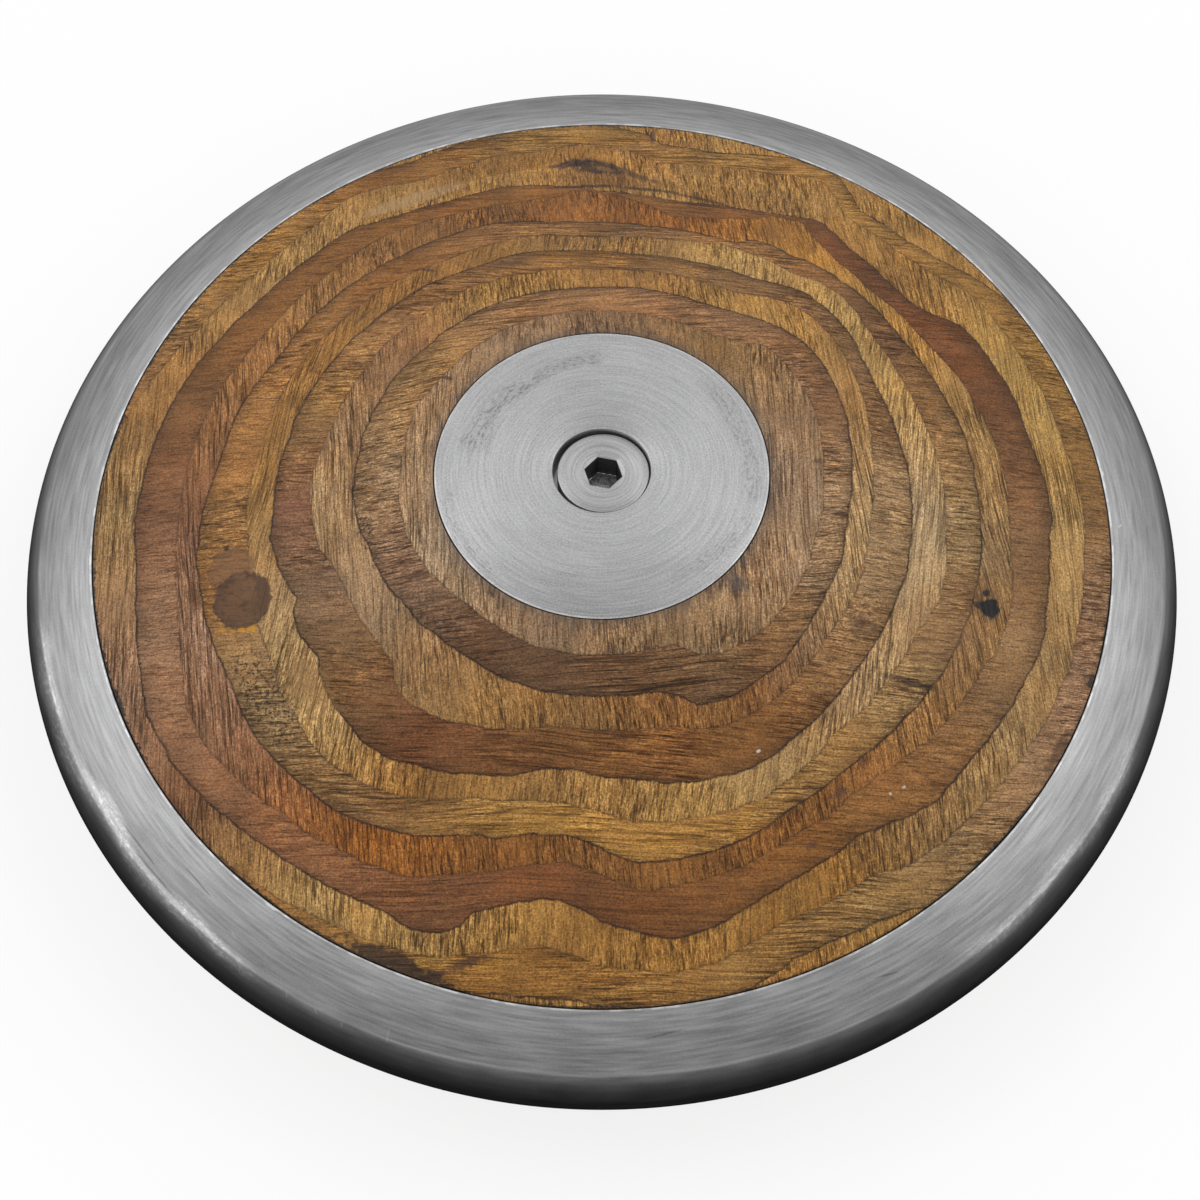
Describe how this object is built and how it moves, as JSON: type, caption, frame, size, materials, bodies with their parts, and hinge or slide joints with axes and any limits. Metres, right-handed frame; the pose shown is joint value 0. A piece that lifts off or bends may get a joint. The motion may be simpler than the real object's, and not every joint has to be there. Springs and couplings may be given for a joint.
{
  "type": "discus",
  "caption": "Competition throwing discus with a turned steel rim, laminated wooden sides and flush steel centre plates held by a sunk hexagon-socket screw.",
  "frame": {"origin": "centre of the disc: on its axis and on the mid-plane between its two faces", "axes": "+Z along the disc's axis, out of the face with the screw's head; X and Y lie in the mid-plane, with the picture taken from the -Y side"},
  "size_m": [0.181, 0.181, 0.0384],
  "materials": {
    "rim_steel": "turned, satin",
    "laminated_wood": "turned laminate, oiled, glue lines and grain showing",
    "plate_steel": "faced on a lathe, satin",
    "fastener_steel": "turned, plain",
    "trim_steel": "as rolled",
    "dowel_wood": "plain beech"
  },
  "bodies": {
    "root": {"rim": "rim_steel", "upper_side": "laminated_wood", "lower_side": "laminated_wood", "upper_plate": "plate_steel", "lower_plate": "plate_steel", "centre_screw": "fastener_steel", "sleeve_nut": "fastener_steel", "upper_trim_washer_1": "trim_steel", "upper_trim_washer_2": "trim_steel", "upper_trim_washer_3": "trim_steel", "lower_trim_washer_1": "trim_steel", "lower_trim_washer_2": "trim_steel", "lower_trim_washer_3": "trim_steel", "dowel_1": "dowel_wood", "dowel_2": "dowel_wood", "dowel_3": "dowel_wood", "dowel_4": "dowel_wood", "dowel_5": "dowel_wood", "dowel_6": "dowel_wood", "dowel_7": "dowel_wood", "dowel_8": "dowel_wood"}
  },
  "joints": []
}
